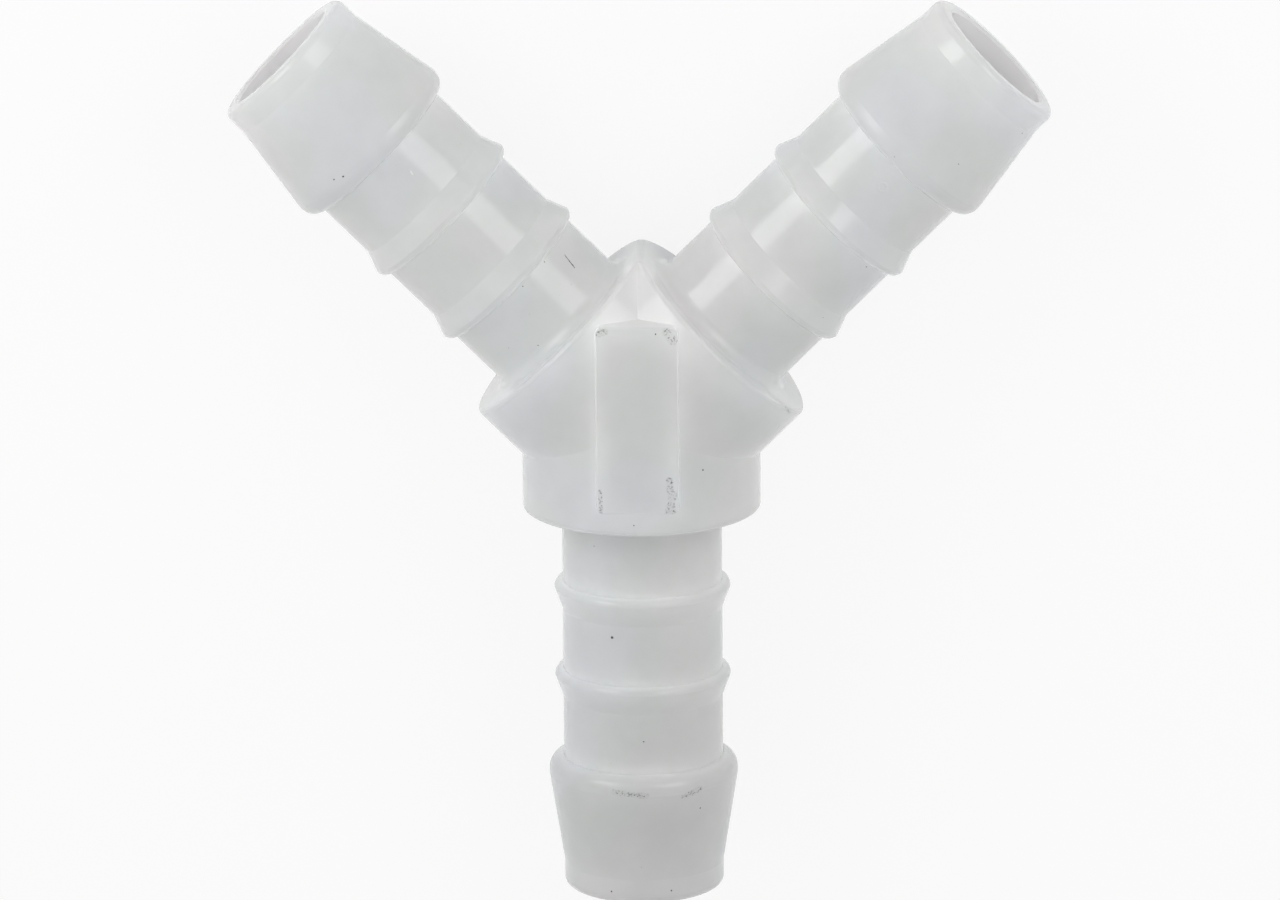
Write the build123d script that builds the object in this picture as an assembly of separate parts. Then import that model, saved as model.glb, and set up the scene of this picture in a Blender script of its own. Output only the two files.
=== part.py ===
from build123d import *
import math
import os

# Y connector for flexible hose, injection moulded in one piece of polypropylene.
# The origin is where the axes of the three bores meet. The two arms spread either
# side of +Y, the leg points along -Y, and the raised pad faces +Z.

# Driving dimensions, in millimetres and degrees
stem_diameter = 12.0       # the hose size: a hose with this bore just slides over
bore_diameter = 9.2
arm_spread = 90.0          # between the two arms

collar_diameter = 17.8     # thick barrels that meet in the middle
arm_collar_length = 8.4    # from the origin to the face that stops the hose
leg_collar_length = 8.0
collar_edge_radius = 0.3
ridge_radius = 0.6         # where the stop faces of the two arms meet
foot_radius = 0.9          # fillet where a stem grows out of its stop face

rib_count = 2              # small grip ribs on each stem, behind the end barb
first_rib = 13.6           # from the origin to the back of the first rib
rib_pitch = 6.85           # from rib to rib, and from the last rib to the end barb
rib_height = 0.6
rib_length = 2.2

barb_height = 1.1
barb_length = 8.3
barb_land = 0.3            # level ring on the crest of the barb, which seals the hose
nose_length = 1.9          # plain end that starts the hose
nose_edge_radius = 0.6
mouth_chamfer = 0.2

pad_width = 6.1            # flat that is left for a marking, raised above the collars
pad_reach_up = 8.0         # from the origin towards the arms
pad_reach_down = 6.2       # from the origin towards the leg
pad_proud = 0.15
pad_corner_radius = 0.5
pad_edge_radius = 0.15
pad_draft_angle = 4.0

# Radii and places worked out from the driving dimensions
stem_radius = stem_diameter / 2
bore_radius = bore_diameter / 2
collar_radius = collar_diameter / 2
step = collar_radius - stem_radius
wall = stem_radius - bore_radius
barb_start = first_rib + rib_count * rib_pitch
barb_end = barb_start + barb_length
reach = barb_end + nose_length
pad_top = collar_radius + pad_proud

# Turn of each limb about Z, away from +Y, and the length of its collar
left_arm = (arm_spread / 2, arm_collar_length)
right_arm = (-arm_spread / 2, arm_collar_length)
lower_leg = (180.0, leg_collar_length)
limbs = [left_arm, right_arm, lower_leg]


def turned(half_section, turn):
    """Solid of revolution about +Y, turned to lie along one limb."""
    return Rot(0, 0, turn) * revolve(half_section, Axis.Y)


def collar(turn, length):
    """Barrel from the origin to the stop face of a limb, with its outer edge rounded."""
    edge = min(collar_edge_radius, step / 3)
    with BuildSketch() as half:
        with BuildLine():
            Polyline((0, length), (0, 0), (collar_radius, 0), (collar_radius, length - edge))
            RadiusArc((collar_radius, length - edge), (collar_radius - edge, length), -edge)
            Line((collar_radius - edge, length), (0, length))
        make_face()
    return turned(half.sketch, turn)


def draw_barb(start, height, land, length):
    """Round back, level crest and straight ramp of a rib or barb on a half section."""
    crest_radius = stem_radius + height
    crest_start = start + height
    crest_end = crest_start + land
    RadiusArc((stem_radius, start), (crest_radius, crest_start), -height)
    if land > 0:
        Line((crest_radius, crest_start), (crest_radius, crest_end))
    Line((crest_radius, crest_end), (stem_radius, start + length))


def tail(turn, collar_length):
    """Hose tail of one limb: stem, ribs, end barb and nose, solid from the origin out."""
    foot = min(foot_radius, step / 2)
    foot_end = collar_length + foot
    rounding = min(nose_edge_radius, wall / 2)
    straight_end = reach - rounding
    with BuildSketch() as half:
        with BuildLine():
            Polyline((0, reach), (0, 0), (stem_radius + foot, 0), (stem_radius + foot, collar_length))
            RadiusArc((stem_radius + foot, collar_length), (stem_radius, foot_end), foot)
            stem_start = foot_end
            for number in range(rib_count):
                rib_start = first_rib + number * rib_pitch
                Line((stem_radius, stem_start), (stem_radius, rib_start))
                draw_barb(rib_start, rib_height, 0, rib_length)
                stem_start = rib_start + rib_length
            Line((stem_radius, stem_start), (stem_radius, barb_start))
            draw_barb(barb_start, barb_height, barb_land, barb_length)
            Line((stem_radius, barb_end), (stem_radius, straight_end))
            RadiusArc((stem_radius, straight_end), (stem_radius - rounding, reach), -rounding)
            Line((stem_radius - rounding, reach), (0, reach))
        make_face()
    return turned(half.sketch, turn)


def waterway(turn):
    """Bore of one limb as a solid to cut away, with the chamfer at its mouth."""
    chamfer = min(mouth_chamfer, wall / 3)
    straight_end = (bore_radius, reach - chamfer)
    mouth = (bore_radius + chamfer, reach)
    half = make_face(
        Polyline((0, reach), (0, 0), (bore_radius, 0), straight_end, mouth, close=True)
    )
    return turned(half, turn)


def pad():
    """Raised flat with drafted sides, rooted at the height of the axes."""
    length = pad_reach_up + pad_reach_down
    middle = (pad_reach_up - pad_reach_down) / 2
    outline = Pos(0, middle, pad_top) * RectangleRounded(pad_width, length, pad_corner_radius)
    block = extrude(outline, -pad_top, taper=-pad_draft_angle)
    top_edges = block.edges().group_by(Axis.Z)[-1]
    return fillet(top_edges, pad_edge_radius)


def stop_wedge():
    """Everything behind the stop faces of both arms, rounded where the faces meet."""
    half_spread = math.radians(arm_spread / 2)
    peak = arm_collar_length / math.cos(half_spread)
    flank = arm_collar_length + 2 * collar_diameter
    foot_x = flank * math.cos(half_spread)
    foot_y = peak - flank * math.sin(half_spread)
    outline = make_face(Polyline((0, peak), (-foot_x, foot_y), (foot_x, foot_y), close=True))
    rounded = fillet(outline.vertices().sort_by(Axis.Y)[-1], ridge_radius)
    return extrude(rounded, collar_diameter, both=True)


def hub():
    """Three crossing collars and the pad, planed level with the stop faces of the arms."""
    arms = collar(*left_arm) + collar(*right_arm) + pad()
    return (arms & stop_wedge()) + collar(*lower_leg)


def y_connector():
    """The moulding: hub and three hose tails, opened by the bores that meet inside."""
    body = hub()
    for turn, collar_length in limbs:
        body += tail(turn, collar_length)
    for turn, collar_length in limbs:
        body -= waterway(turn)
    return body


os.makedirs("parts", exist_ok=True)
export_step(y_connector(), "parts/y_connector.step")
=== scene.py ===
import bpy
import math
from mathutils import Matrix, Vector


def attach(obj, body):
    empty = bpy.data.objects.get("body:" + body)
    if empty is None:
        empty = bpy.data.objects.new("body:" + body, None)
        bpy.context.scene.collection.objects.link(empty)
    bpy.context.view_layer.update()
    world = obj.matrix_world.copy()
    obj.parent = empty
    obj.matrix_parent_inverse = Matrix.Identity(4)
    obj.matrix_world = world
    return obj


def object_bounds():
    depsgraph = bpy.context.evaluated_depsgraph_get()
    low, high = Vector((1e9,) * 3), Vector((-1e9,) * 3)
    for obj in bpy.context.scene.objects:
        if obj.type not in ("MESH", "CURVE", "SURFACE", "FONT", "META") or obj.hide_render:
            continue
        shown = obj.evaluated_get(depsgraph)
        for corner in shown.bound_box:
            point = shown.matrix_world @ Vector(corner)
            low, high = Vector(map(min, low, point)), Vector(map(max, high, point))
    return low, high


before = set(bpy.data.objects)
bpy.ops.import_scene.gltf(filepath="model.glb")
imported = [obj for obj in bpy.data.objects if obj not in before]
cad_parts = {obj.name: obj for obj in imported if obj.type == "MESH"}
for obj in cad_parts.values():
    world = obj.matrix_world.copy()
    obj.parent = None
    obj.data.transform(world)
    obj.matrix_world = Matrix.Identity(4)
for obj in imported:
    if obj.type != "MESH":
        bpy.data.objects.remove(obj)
cad_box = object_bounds()


# ---- The moulding ----------------------------------------------------------------------
# The whole fitting: hub, bare pad and three barbed hose tails. It is one piece of natural,
# uncoloured polypropylene, injected into a polished two-part mould that opens along Z, so
# its skin is glossy, its milky wall lets light through, and a faint line runs round it.

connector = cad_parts["y_connector"]
millimetres_in_a_metre = 1000.0

# Colours are linear. Natural polypropylene is a cool white that drifts a little with flow.
bluish_white = (0.598, 0.610, 0.628, 1.0)
greenish_white = (0.596, 0.612, 0.602, 1.0)
warm_white = (0.622, 0.614, 0.616, 1.0)
bore_painted_light = (0.66, 0.65, 0.655, 1.0)      # painted light: paler, as light seeps into the bores all round
dirt_colour = (0.045, 0.045, 0.040, 1.0)
scuff_colour = (0.76, 0.77, 0.77, 1.0)

# All sizes and places from here to the end of the section are in millimetres.
limb_length = 37.5          # from the middle of the fitting, as are the barbs' ends below
limb_turns = (45.0, -45.0, 180.0)           # degrees about Z, away from +Y
bore_radius = 4.6
bore_mask_full = 0.05       # outside the wall of the bore
bore_mask_gone = 0.25
scatter_distance = 3.5      # how far light spreads sideways in the milky wall

cloud_size = 11.0
mottles_in_a_cloud = 3.7
mottle_range = (0.975, 1.02)
painted_shade_begins = -8.0       # along Y: painted shade, darker towards the leg's end, where the light falls off
unshaded_tone = 1.05
painted_shade_tone = 0.89

grain_size = 0.16
grain_height = 0.0006
wave_size = 1.7
wave_height = 0.0035
parting_line_width = 0.10   # to either side of Z = 0
parting_line_height = 0.012
ejector_ring_height = 0.012
ejector_ring_inside = 0.7   # share of its radius

barbs_begin = 28.0
barbs_end = 35.5
barb_run_in = 1.5
barb_run_out = 1.0
barb_scuffing = 0.0035      # height of the rubbed skin on the barbs
barb_scuffs_scale = 2.2     # per millimetre

polished_roughness = 0.16
wave_roughness = 0.10       # these three are added where their cause is
barb_roughness = 0.07
dirt_roughness = 0.4

dust_spacing = 1.6
dust_radius = 0.07
dust_strength = 0.6
mark_core = 0.55            # share of a mark's radius that is full strength
rim_wander = 0.12           # how far the rim of a mark strays in all
rim_scale = 9.0             # per millimetre
grime_scale = 6.0
grime_between_grains = 0.06
grime_in_grains = 0.85


def add_node(tree, kind, inputs=None, **settings):
    """Node of a tree. Each input takes a value, or the socket that feeds it."""
    node = tree.nodes.new("ShaderNode" + kind)
    for name, setting in settings.items():
        setattr(node, name, setting)
    for name, value in (inputs or {}).items():
        if isinstance(value, bpy.types.NodeSocket):
            tree.links.new(value, node.inputs[name])
        else:
            node.inputs[name].default_value = value
    return node


def calculate(tree, operation, first, second=0.0, third=0.0):
    """Result of one sum on two or three numbers."""
    terms = {0: first, 1: second, 2: third}
    return add_node(tree, "Math", terms, operation=operation).outputs[0]


def new_effect(name, inputs, outputs):
    """Empty node group with the named inputs and outputs, with its two end nodes."""
    tree = bpy.data.node_groups.new(name, "ShaderNodeTree")
    for label, kind in inputs.items():
        tree.interface.new_socket(name=label, in_out="INPUT", socket_type="NodeSocket" + kind)
    for label, kind in outputs.items():
        tree.interface.new_socket(name=label, in_out="OUTPUT", socket_type="NodeSocket" + kind)
    return tree, tree.nodes.new("NodeGroupInput").outputs, tree.nodes.new("NodeGroupOutput").inputs


def fade_out(tree, distance, radius):
    """Mask that is 1 inside a radius and fades to 0 at its rim."""
    core = calculate(tree, "MULTIPLY", radius, mark_core)
    fade = add_node(tree, "MapRange", {
        "Value": distance, "From Min": radius, "From Max": core,
    }, interpolation_type="SMOOTHSTEP")
    return fade.outputs["Result"]


def make_milky_cloud():
    """Slow drift of tint and tone through the plastic."""
    tree, given, result = new_effect(
        "milky_cloud", {"Place": "Vector", "Size": "Float"}, {"Color": "Color"})
    scale = calculate(tree, "DIVIDE", 1.0, given["Size"])
    drift = add_node(tree, "TexNoise", {
        "Vector": given["Place"], "Scale": scale, "Detail": 1.0, "Roughness": 0.4,
    })
    tint = add_node(tree, "ValToRGB", {"Fac": drift.outputs["Fac"]})
    stops = tint.color_ramp.elements
    stops[0].position = 0.36
    stops[0].color = bluish_white
    stops[1].position = 0.66
    stops[1].color = warm_white
    stops.new(0.51).color = greenish_white
    finer = calculate(tree, "MULTIPLY", scale, mottles_in_a_cloud)
    tone = add_node(tree, "TexNoise", {
        "Vector": given["Place"], "Scale": finer, "Detail": 3.0, "Roughness": 0.55,
    })
    darkest, lightest = mottle_range
    shade = add_node(tree, "MapRange", {
        "Value": tone.outputs["Fac"], "From Min": 0.3, "From Max": 0.7,
        "To Min": darkest, "To Max": lightest,
    })
    toned = add_node(tree, "VectorMath", {
        0: tint.outputs["Color"], "Scale": shade.outputs["Result"],
    }, operation="SCALE")
    tree.links.new(toned.outputs["Vector"], result["Color"])
    return tree


def make_moulded_skin():
    """Fine grain and slow waves that the mould leaves, as heights about zero."""
    tree, given, result = new_effect(
        "moulded_skin",
        {"Place": "Vector", "Grain Size": "Float", "Wave Size": "Float"},
        {"Grain": "Float", "Wave": "Float"})
    for size, detail, output in (("Grain Size", 1.0, "Grain"), ("Wave Size", 0.0, "Wave")):
        scale = calculate(tree, "DIVIDE", 1.0, given[size])
        noise = add_node(tree, "TexNoise", {
            "Vector": given["Place"], "Scale": scale, "Detail": detail,
        })
        tree.links.new(calculate(tree, "SUBTRACT", noise.outputs["Fac"], 0.5), result[output])
    return tree


def make_fine_dust():
    """Pinpoint specks scattered through the skin, no two of one size."""
    tree, given, result = new_effect(
        "fine_dust", {"Place": "Vector", "Spacing": "Float", "Radius": "Float"}, {"Mask": "Float"})
    cells = add_node(tree, "TexVoronoi", {
        "Vector": given["Place"], "Scale": calculate(tree, "DIVIDE", 1.0, given["Spacing"]),
    })
    distance = calculate(tree, "MULTIPLY", cells.outputs["Distance"], given["Spacing"])
    lot = add_node(tree, "SeparateColor", {"Color": cells.outputs["Color"]})
    radius = calculate(tree, "MULTIPLY", lot.outputs["Red"], given["Radius"])
    mask = calculate(tree, "MULTIPLY", fade_out(tree, distance, radius), lot.outputs["Green"])
    tree.links.new(mask, result["Mask"])
    return tree


def make_spot():
    """Round mark at one place."""
    tree, given, result = new_effect(
        "spot", {"Place": "Vector", "Centre": "Vector", "Radius": "Float"}, {"Mask": "Float"})
    gap = add_node(tree, "VectorMath", {0: given["Place"], 1: given["Centre"]}, operation="DISTANCE")
    tree.links.new(fade_out(tree, gap.outputs["Value"], given["Radius"]), result["Mask"])
    return tree


def make_stroke():
    """Straight mark from one place to another, and the distance from its middle line."""
    tree, given, result = new_effect(
        "stroke",
        {"Place": "Vector", "Start": "Vector", "End": "Vector", "Width": "Float"},
        {"Mask": "Float", "Distance": "Float"})
    line = add_node(tree, "VectorMath", {0: given["End"], 1: given["Start"]}, operation="SUBTRACT")
    away = add_node(tree, "VectorMath", {0: given["Place"], 1: given["Start"]}, operation="SUBTRACT")
    run = add_node(tree, "VectorMath", {
        0: away.outputs["Vector"], 1: line.outputs["Vector"],
    }, operation="DOT_PRODUCT")
    whole = add_node(tree, "VectorMath", {
        0: line.outputs["Vector"], 1: line.outputs["Vector"],
    }, operation="DOT_PRODUCT")
    share = add_node(tree, "Math", {
        0: run.outputs["Value"], 1: whole.outputs["Value"],
    }, operation="DIVIDE", use_clamp=True)
    nearest = add_node(tree, "VectorMath", {
        0: line.outputs["Vector"], "Scale": share.outputs[0],
    }, operation="SCALE")
    gap = add_node(tree, "VectorMath", {
        0: away.outputs["Vector"], 1: nearest.outputs["Vector"],
    }, operation="DISTANCE")
    tree.links.new(fade_out(tree, gap.outputs["Value"], given["Width"]), result["Mask"])
    tree.links.new(gap.outputs["Value"], result["Distance"])
    return tree


# Specks of dirt: place and radius. The first is the boldest, between the ribs of the leg.
specks = [
    ((-2.1, -16.7, 5.6), 0.14),
    ((-20.5, 18.1, 5.7), 0.07), ((-22.3, 18.7, 6.6), 0.09), ((-21.6, 19.0, 6.9), 0.12),
    ((-8.5, 10.4, 5.8), 0.08), ((-6.9, 12.0, 4.8), 0.06), ((-5.8, 9.6, 5.4), 0.05),
    ((-10.3, 3.1, 3.0), 0.07), ((-7.4, 5.9, 5.9), 0.05), ((-5.4, 0.7, 8.3), 0.05),
    ((-0.3, 10.4, 5.2), 0.08), ((1.4, 7.6, 9.05), 0.07), ((5.2, 7.1, 6.0), 0.07),
    ((4.9, -0.4, 8.0), 0.06), ((4.9, -1.4, 8.0), 0.07), ((4.8, -3.2, 7.5), 0.09),
    ((-0.3, -7.1, 8.9), 0.06), ((-3.4, -9.8, 4.9), 0.06), ((0.2, -24.7, 6.0), 0.07),
    ((-2.3, -36.6, 5.5), 0.09), ((2.2, -36.5, 5.6), 0.09), ((4.4, -30.1, 5.3), 0.08),
    ((13.7, 7.7, 4.6), 0.06), ((16.9, 11.6, 4.7), 0.07), ((20.3, 28.7, 1.3), 0.07),
    ((23.7, 19.8, 6.2), 0.06), ((28.4, 21.5, 3.6), 0.07),
]

# Grime that fingers have left, as strokes from one place to another, and their width.
grime_strokes = [
    ((2.2, 7.8, 9.0), (2.7, 7.1, 9.0), 0.40),       # corners of the pad
    ((-2.8, 7.6, 9.0), (-2.3, 7.8, 9.0), 0.30),
    ((2.35, -3.6, 9.0), (2.6, -6.0, 9.0), 0.32),
    ((2.75, -4.6, 9.0), (2.2, -6.0, 9.0), 0.28),
    ((-2.8, -4.4, 9.0), (-2.7, -6.0, 9.0), 0.20),
    ((9.9, 2.2, 5.6), (11.2, 0.8, 4.6), 0.55),      # lower corner of the right stop face
    ((-2.0, -28.4, 6.8), (0.4, -28.6, 7.1), 0.28),  # crest of the leg's barb
    ((3.2, -28.9, 6.5), (4.4, -28.5, 5.6), 0.28),
]

# Thin scratches, dark where dirt has settled in them, and pale rubs, as strokes too.
dark_scratches = [
    ((-6.05, 13.0, 3.3), (-5.55, 12.2, 3.6), 0.07),
    ((-5.45, 12.2, 3.6), (-4.70, 11.3, 3.8), 0.05),
]
pale_scratches = [
    ((-16.8, 19.3, 5.6), (-16.4, 18.7, 5.9), 0.08),
    ((-16.5, 18.9, 5.8), (-16.2, 18.4, 6.0), 0.06),
    ((-17.4, 16.0, 4.9), (-16.6, 16.4, 5.4), 0.06),
]
ejector_place = (18.1, 18.0, 6.0)     # ring that a pin has pressed on the right arm
ejector_radius = 0.5

natural_plastic = bpy.data.materials.new("natural_plastic")
natural_plastic.use_nodes = True
plastic = natural_plastic.node_tree
skin = plastic.nodes["Principled BSDF"]
skin.subsurface_method = "BURLEY"
skin.inputs["Subsurface Weight"].default_value = 1.0
skin.inputs["Subsurface Radius"].default_value = (1.0, 1.0, 1.0)
skin.inputs["Subsurface Scale"].default_value = scatter_distance / millimetres_in_a_metre
skin.inputs["IOR"].default_value = 1.49

spot_effect = make_spot()
stroke_effect = make_stroke()
in_metres = add_node(plastic, "TexCoord").outputs["Object"]
at = add_node(plastic, "VectorMath", {
    0: in_metres, "Scale": millimetres_in_a_metre,
}, operation="SCALE").outputs["Vector"]
along = add_node(plastic, "SeparateXYZ", {0: at}).outputs
ragged = add_node(plastic, "TexNoise", {"Vector": at, "Scale": rim_scale, "Detail": 2.0})
shaken = add_node(plastic, "VectorMath", {
    0: ragged.outputs["Color"], 1: (rim_wander, rim_wander, rim_wander), 2: at,
}, operation="MULTIPLY_ADD")
half_wander = rim_wander / 2
uneven = add_node(plastic, "VectorMath", {
    0: shaken.outputs["Vector"], 1: (half_wander, half_wander, half_wander),
}, operation="SUBTRACT").outputs["Vector"]


def all_of(masks):
    """One mask that joins several."""
    joined = masks[0]
    for mask in masks[1:]:
        joined = calculate(plastic, "MAXIMUM", joined, mask)
    return joined


def spot(centre, radius):
    """Mask of one round mark with an uneven rim."""
    return add_node(plastic, "Group", {
        "Place": uneven, "Centre": centre, "Radius": radius,
    }, node_tree=spot_effect).outputs["Mask"]


def stroke(start, end, width):
    """Mask of one drawn mark with an uneven rim."""
    return add_node(plastic, "Group", {
        "Place": uneven, "Start": start, "End": end, "Width": width,
    }, node_tree=stroke_effect).outputs["Mask"]


cloud = add_node(plastic, "Group", {"Place": at, "Size": cloud_size}, node_tree=make_milky_cloud())
texture = add_node(plastic, "Group", {
    "Place": at, "Grain Size": grain_size, "Wave Size": wave_size,
}, node_tree=make_moulded_skin())
dust = add_node(plastic, "Group", {
    "Place": at, "Spacing": dust_spacing, "Radius": dust_radius,
}, node_tree=make_fine_dust()).outputs["Mask"]

# Painted light: inside the bores the skin is painted paler, as light seeps into them all round; the
# distance from the nearest of the three axes tells.
nearest_axis = limb_length
for turn in limb_turns:
    angle = math.radians(turn)
    tip = (-math.sin(angle) * limb_length, math.cos(angle) * limb_length, 0.0)
    axis = add_node(plastic, "Group", {
        "Place": at, "Start": (0.0, 0.0, 0.0), "End": tip, "Width": bore_radius,
    }, node_tree=stroke_effect)
    nearest_axis = calculate(plastic, "MINIMUM", nearest_axis, axis.outputs["Distance"])
bore_painted_light_mask = add_node(plastic, "MapRange", {
    "Value": nearest_axis,
    "From Min": bore_radius + bore_mask_gone, "From Max": bore_radius + bore_mask_full,
}).outputs["Result"]
wall = add_node(plastic, "Mix", {
    0: bore_painted_light_mask, 6: cloud.outputs["Color"], 7: bore_painted_light,
}, data_type="RGBA")
# Painted shade: the colour darkens along the leg towards its end, where the light falls off, and is
# a little lighter above it.
tone = add_node(plastic, "MapRange", {
    "Value": along["Y"], "From Min": painted_shade_begins, "From Max": -limb_length,
    "To Min": unshaded_tone, "To Max": painted_shade_tone,
}, interpolation_type="SMOOTHSTEP").outputs["Result"]
painted_light_and_shade = add_node(plastic, "VectorMath", {0: wall.outputs[2], "Scale": tone}, operation="SCALE")

# Dirt: specks and scratches are dark all through, grime is broken up into grains.
speck_mask = all_of([spot(centre, radius) for centre, radius in specks])
scratch_mask = all_of([stroke(*ends) for ends in dark_scratches])
grime_area = all_of([stroke(*ends) for ends in grime_strokes])
grains = add_node(plastic, "TexNoise", {
    "Vector": at, "Scale": grime_scale, "Detail": 3.0, "Roughness": 0.65,
})
grain_mask = add_node(plastic, "MapRange", {
    "Value": grains.outputs["Fac"], "From Min": 0.52, "From Max": 0.66,
    "To Min": grime_between_grains, "To Max": grime_in_grains,
}).outputs["Result"]
grime_mask = calculate(plastic, "MULTIPLY", grime_area, grain_mask)
faint_dust = calculate(plastic, "MULTIPLY", dust, dust_strength)
dirt_mask = all_of([speck_mask, scratch_mask, grime_mask, faint_dust])
rub_mask = all_of([stroke(*ends) for ends in pale_scratches])
rubbed = add_node(plastic, "Mix", {
    0: rub_mask, 6: painted_light_and_shade.outputs["Vector"], 7: scuff_colour,
}, data_type="RGBA")
soiled = add_node(plastic, "Mix", {
    0: dirt_mask, 6: rubbed.outputs[2], 7: dirt_colour,
}, data_type="RGBA")
plastic.links.new(soiled.outputs[2], skin.inputs["Base Color"])

# Gloss: polished all over, duller on the barbs, where hoses have been pushed on, and in dirt.
reach = add_node(plastic, "VectorMath", {0: at}, operation="LENGTH").outputs["Value"]
past_back = add_node(plastic, "MapRange", {
    "Value": reach, "From Min": barbs_begin, "From Max": barbs_begin + barb_run_in,
}).outputs["Result"]
before_nose = add_node(plastic, "MapRange", {
    "Value": reach, "From Min": barbs_end + barb_run_out, "From Max": barbs_end,
}).outputs["Result"]
barb_mask = calculate(plastic, "MULTIPLY", past_back, before_nose)
roughness = calculate(
    plastic, "MULTIPLY_ADD", texture.outputs["Wave"], wave_roughness, polished_roughness)
roughness = calculate(plastic, "MULTIPLY_ADD", barb_mask, barb_roughness, roughness)
roughness = calculate(plastic, "MULTIPLY_ADD", dirt_mask, dirt_roughness, roughness)
plastic.links.new(roughness, skin.inputs["Roughness"])

# Relief: mould texture, rubbed barbs, the parting line at Z = 0, the ejector's ring.
grain_relief = calculate(plastic, "MULTIPLY", texture.outputs["Grain"], grain_height)
wave_relief = calculate(plastic, "MULTIPLY", texture.outputs["Wave"], wave_height)
scuffs = add_node(plastic, "TexNoise", {
    "Vector": at, "Scale": barb_scuffs_scale, "Detail": 2.0, "Roughness": 0.7,
})
rub_relief = calculate(plastic, "MULTIPLY", scuffs.outputs["Fac"], barb_mask)
rub_relief = calculate(plastic, "MULTIPLY", rub_relief, barb_scuffing)
off_the_line = calculate(plastic, "ABSOLUTE", along["Z"])
line_mask = fade_out(plastic, off_the_line, parting_line_width)
line_relief = calculate(plastic, "MULTIPLY", line_mask, parting_line_height)
outer_disc, inner_disc = [
    add_node(plastic, "Group", {
        "Place": at, "Centre": ejector_place, "Radius": radius,
    }, node_tree=spot_effect).outputs["Mask"]
    for radius in (ejector_radius, ejector_radius * ejector_ring_inside)
]
ring = calculate(plastic, "SUBTRACT", outer_disc, inner_disc)
ring_relief = calculate(plastic, "MULTIPLY", ring, ejector_ring_height)
relief = grain_relief
for part in (wave_relief, rub_relief, line_relief, ring_relief):
    relief = calculate(plastic, "ADD", relief, part)
bump = add_node(plastic, "Bump", {
    "Height": relief, "Strength": 1.0, "Distance": 1.0 / millimetres_in_a_metre,
})
plastic.links.new(bump.outputs["Normal"], skin.inputs["Normal"])

for slot in connector.material_slots:
    slot.material = natural_plastic
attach(connector, "root")


# ---- The table top ---------------------------------------------------------------------
# A plain white sheet that the part lies on, on its back. It isn't part of the object. It
# looks white to the camera and in reflections, and keeps the part's shadow.

floor_size = 3.0            # metres
paper_white = (0.9, 0.9, 0.9, 1.0)
paper_roughness = 0.9
paper_sheen = 0.1
floor_height = cad_box[0][2]
whitening = 0.85            # share of plain white that is mixed in where the sheet is seen

half = floor_size / 2
floor_mesh = bpy.data.meshes.new("floor")
floor_mesh.from_pydata(
    [
        (-half, -half, floor_height), (half, -half, floor_height),
        (half, half, floor_height), (-half, half, floor_height),
    ],
    [], [(0, 1, 2, 3)],
)
floor = bpy.data.objects.new("floor", floor_mesh)
bpy.context.scene.collection.objects.link(floor)
white_paper = bpy.data.materials.new("white_paper")
white_paper.use_nodes = True
paper = white_paper.node_tree
sheet = paper.nodes["Principled BSDF"]
sheet.inputs["Base Color"].default_value = paper_white
sheet.inputs["Roughness"].default_value = paper_roughness
sheet.inputs["Specular IOR Level"].default_value = paper_sheen
plain_white = add_node(paper, "Emission", {"Color": (1.0, 1.0, 1.0, 1.0), "Strength": 1.0})
rays = add_node(paper, "LightPath").outputs
seen = calculate(paper, "MAXIMUM", rays["Is Camera Ray"], rays["Is Glossy Ray"])
seen = calculate(paper, "MAXIMUM", seen, rays["Is Transmission Ray"])
share = calculate(paper, "MULTIPLY", seen, whitening)
both = add_node(paper, "MixShader", {0: share, 1: sheet.outputs[0], 2: plain_white.outputs[0]})
paper.links.new(both.outputs[0], paper.nodes["Material Output"].inputs["Surface"])
floor_mesh.materials.append(white_paper)


# ---- The lights ------------------------------------------------------------------------
# Two soft boxes stand close by, above the arms, and mirror as a bright strip along each
# arm. Even light comes from all round, stronger from the sides than from overhead.

box_distance = 0.20         # metres, from the arm that mirrors the box
left_arm_top = (-0.015, 0.015, 0.006)
right_arm_top = (0.015, 0.015, 0.006)


def soft_box(name, mirrored_at, direction, width, height, brightness):
    """Lamp that faces the part, placed by where it is mirrored and from which direction."""
    lamp = bpy.data.lights.new(name, "AREA")
    lamp.shape = "RECTANGLE"
    lamp.size, lamp.size_y = width, height
    lamp.energy = brightness * math.pi * width * height
    holder = bpy.data.objects.new(name, lamp)
    toward = Vector(direction).normalized()
    holder.location = Vector(mirrored_at) + toward * box_distance
    holder.rotation_euler = toward.to_track_quat("Z", "Y").to_euler()
    bpy.context.scene.collection.objects.link(holder)


soft_box(
    "soft_box_right", mirrored_at=left_arm_top, direction=(0.655, 0.423, 0.627),
    width=0.085, height=0.130, brightness=2.2)
soft_box(
    "soft_box_left", mirrored_at=right_arm_top, direction=(-0.746, 0.448, 0.493),
    width=0.085, height=0.115, brightness=3.0)

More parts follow.
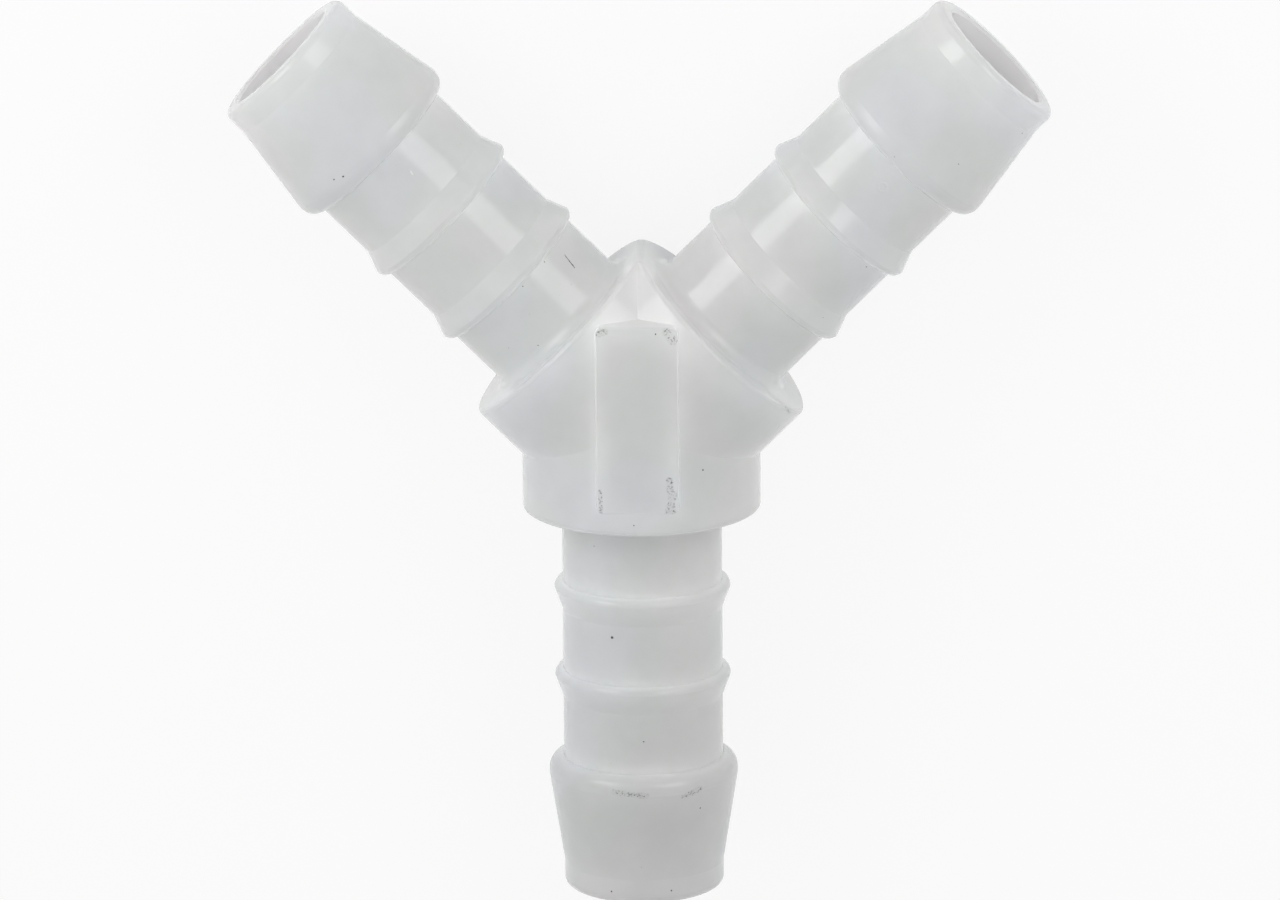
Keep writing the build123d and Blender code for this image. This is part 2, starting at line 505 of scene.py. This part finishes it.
light_overhead = 0.41
light_from_left = 0.98      # level with the table
light_from_right = 0.85
light_from_leg_end = 0.55
world = bpy.data.worlds.new("studio")
world.use_nodes = True
sky = world.node_tree
toward = add_node(sky, "TexCoord").outputs["Generated"]
share_toward = add_node(sky, "SeparateXYZ", {0: toward}).outputs
strength = light_overhead
for axis, end, level in (
    ("X", -1.0, light_from_left),
    ("X", 1.0, light_from_right),
    ("Y", -1.0, light_from_leg_end),
):
    more = add_node(sky, "MapRange", {
        "Value": share_toward[axis], "From Min": 0.0, "From Max": end,
        "To Min": 0.0, "To Max": level - light_overhead,
    }).outputs["Result"]
    strength = calculate(sky, "ADD", more, strength)
sky.nodes["Background"].inputs["Color"].default_value = (1.0, 1.0, 1.0, 1.0)
sky.links.new(strength, sky.nodes["Background"].inputs["Strength"])
bpy.context.scene.world = world
bpy.context.scene.view_settings.view_transform = "Standard"


# ---- The camera ------------------------------------------------------------------------
# It looks down on the part through a long lens, from a little to the arms' side of
# straight above.

image_width = 1280          # pixels
camera_distance = 0.8       # metres, from the origin
camera_tilt = math.radians(15.39)
camera_swing = math.radians(1.97)
camera_roll = math.radians(-0.437)
pixels_per_metre = 13394.0  # at the origin's distance
aim_right = 0.00008         # metres, from the middle of the picture to the origin
aim_up = 0.003602

back = Vector((
    math.sin(camera_swing) * math.cos(camera_tilt),
    math.sin(camera_tilt),
    math.cos(camera_swing) * math.cos(camera_tilt),
))
level_right = Vector((math.cos(camera_swing), 0.0, -math.sin(camera_swing)))
level_up = back.cross(level_right)
right = math.cos(camera_roll) * level_right + math.sin(camera_roll) * level_up
up = math.cos(camera_roll) * level_up - math.sin(camera_roll) * level_right

lens = bpy.data.cameras.new("camera")
lens.sensor_width = 36.0
lens.lens = pixels_per_metre * camera_distance / image_width * lens.sensor_width
lens.clip_start = 0.01
lens.clip_end = 10.0
camera = bpy.data.objects.new("camera", lens)
stand = back * camera_distance - right * aim_right - up * aim_up
camera.matrix_world = Matrix((
    (right.x, up.x, back.x, stand.x),
    (right.y, up.y, back.y, stand.y),
    (right.z, up.z, back.z, stand.z),
    (0.0, 0.0, 0.0, 1.0),
))
bpy.context.scene.collection.objects.link(camera)
bpy.context.scene.camera = camera
